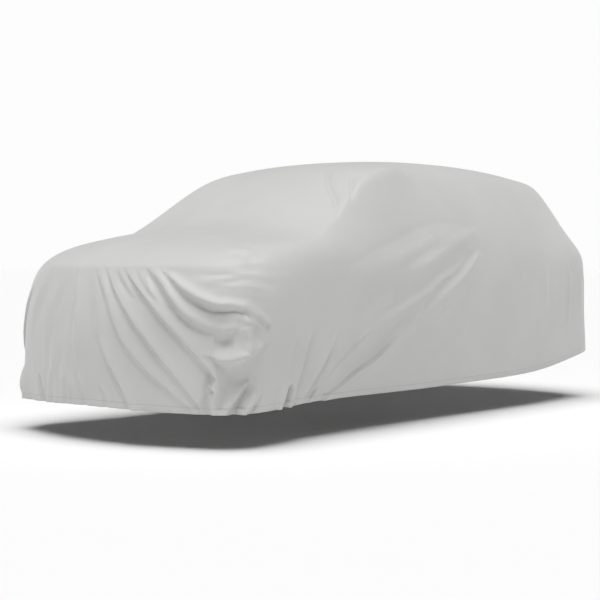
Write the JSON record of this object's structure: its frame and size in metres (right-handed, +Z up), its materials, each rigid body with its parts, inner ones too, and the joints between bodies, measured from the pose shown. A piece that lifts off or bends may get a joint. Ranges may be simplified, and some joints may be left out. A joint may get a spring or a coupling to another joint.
{
  "type": "car cover",
  "caption": "Fitted cloth cover in the form it takes over a compact sport-utility car: one thin, hollow, creased sheet, open underneath.",
  "frame": {"origin": "under the cloth of the roof, on the centre line, where the car's roof holds the cover up", "axes": "+Z up, -Y towards the car's nose, +X towards the car's left side"},
  "size_m": [1.8967, 4.5238, 1.5118],
  "materials": {
    "cover_cloth": "silver-grey coated cloth, matt with a faint sheen on the top"
  },
  "bodies": {
    "root": {"cover": "cover_cloth"}
  },
  "joints": []
}
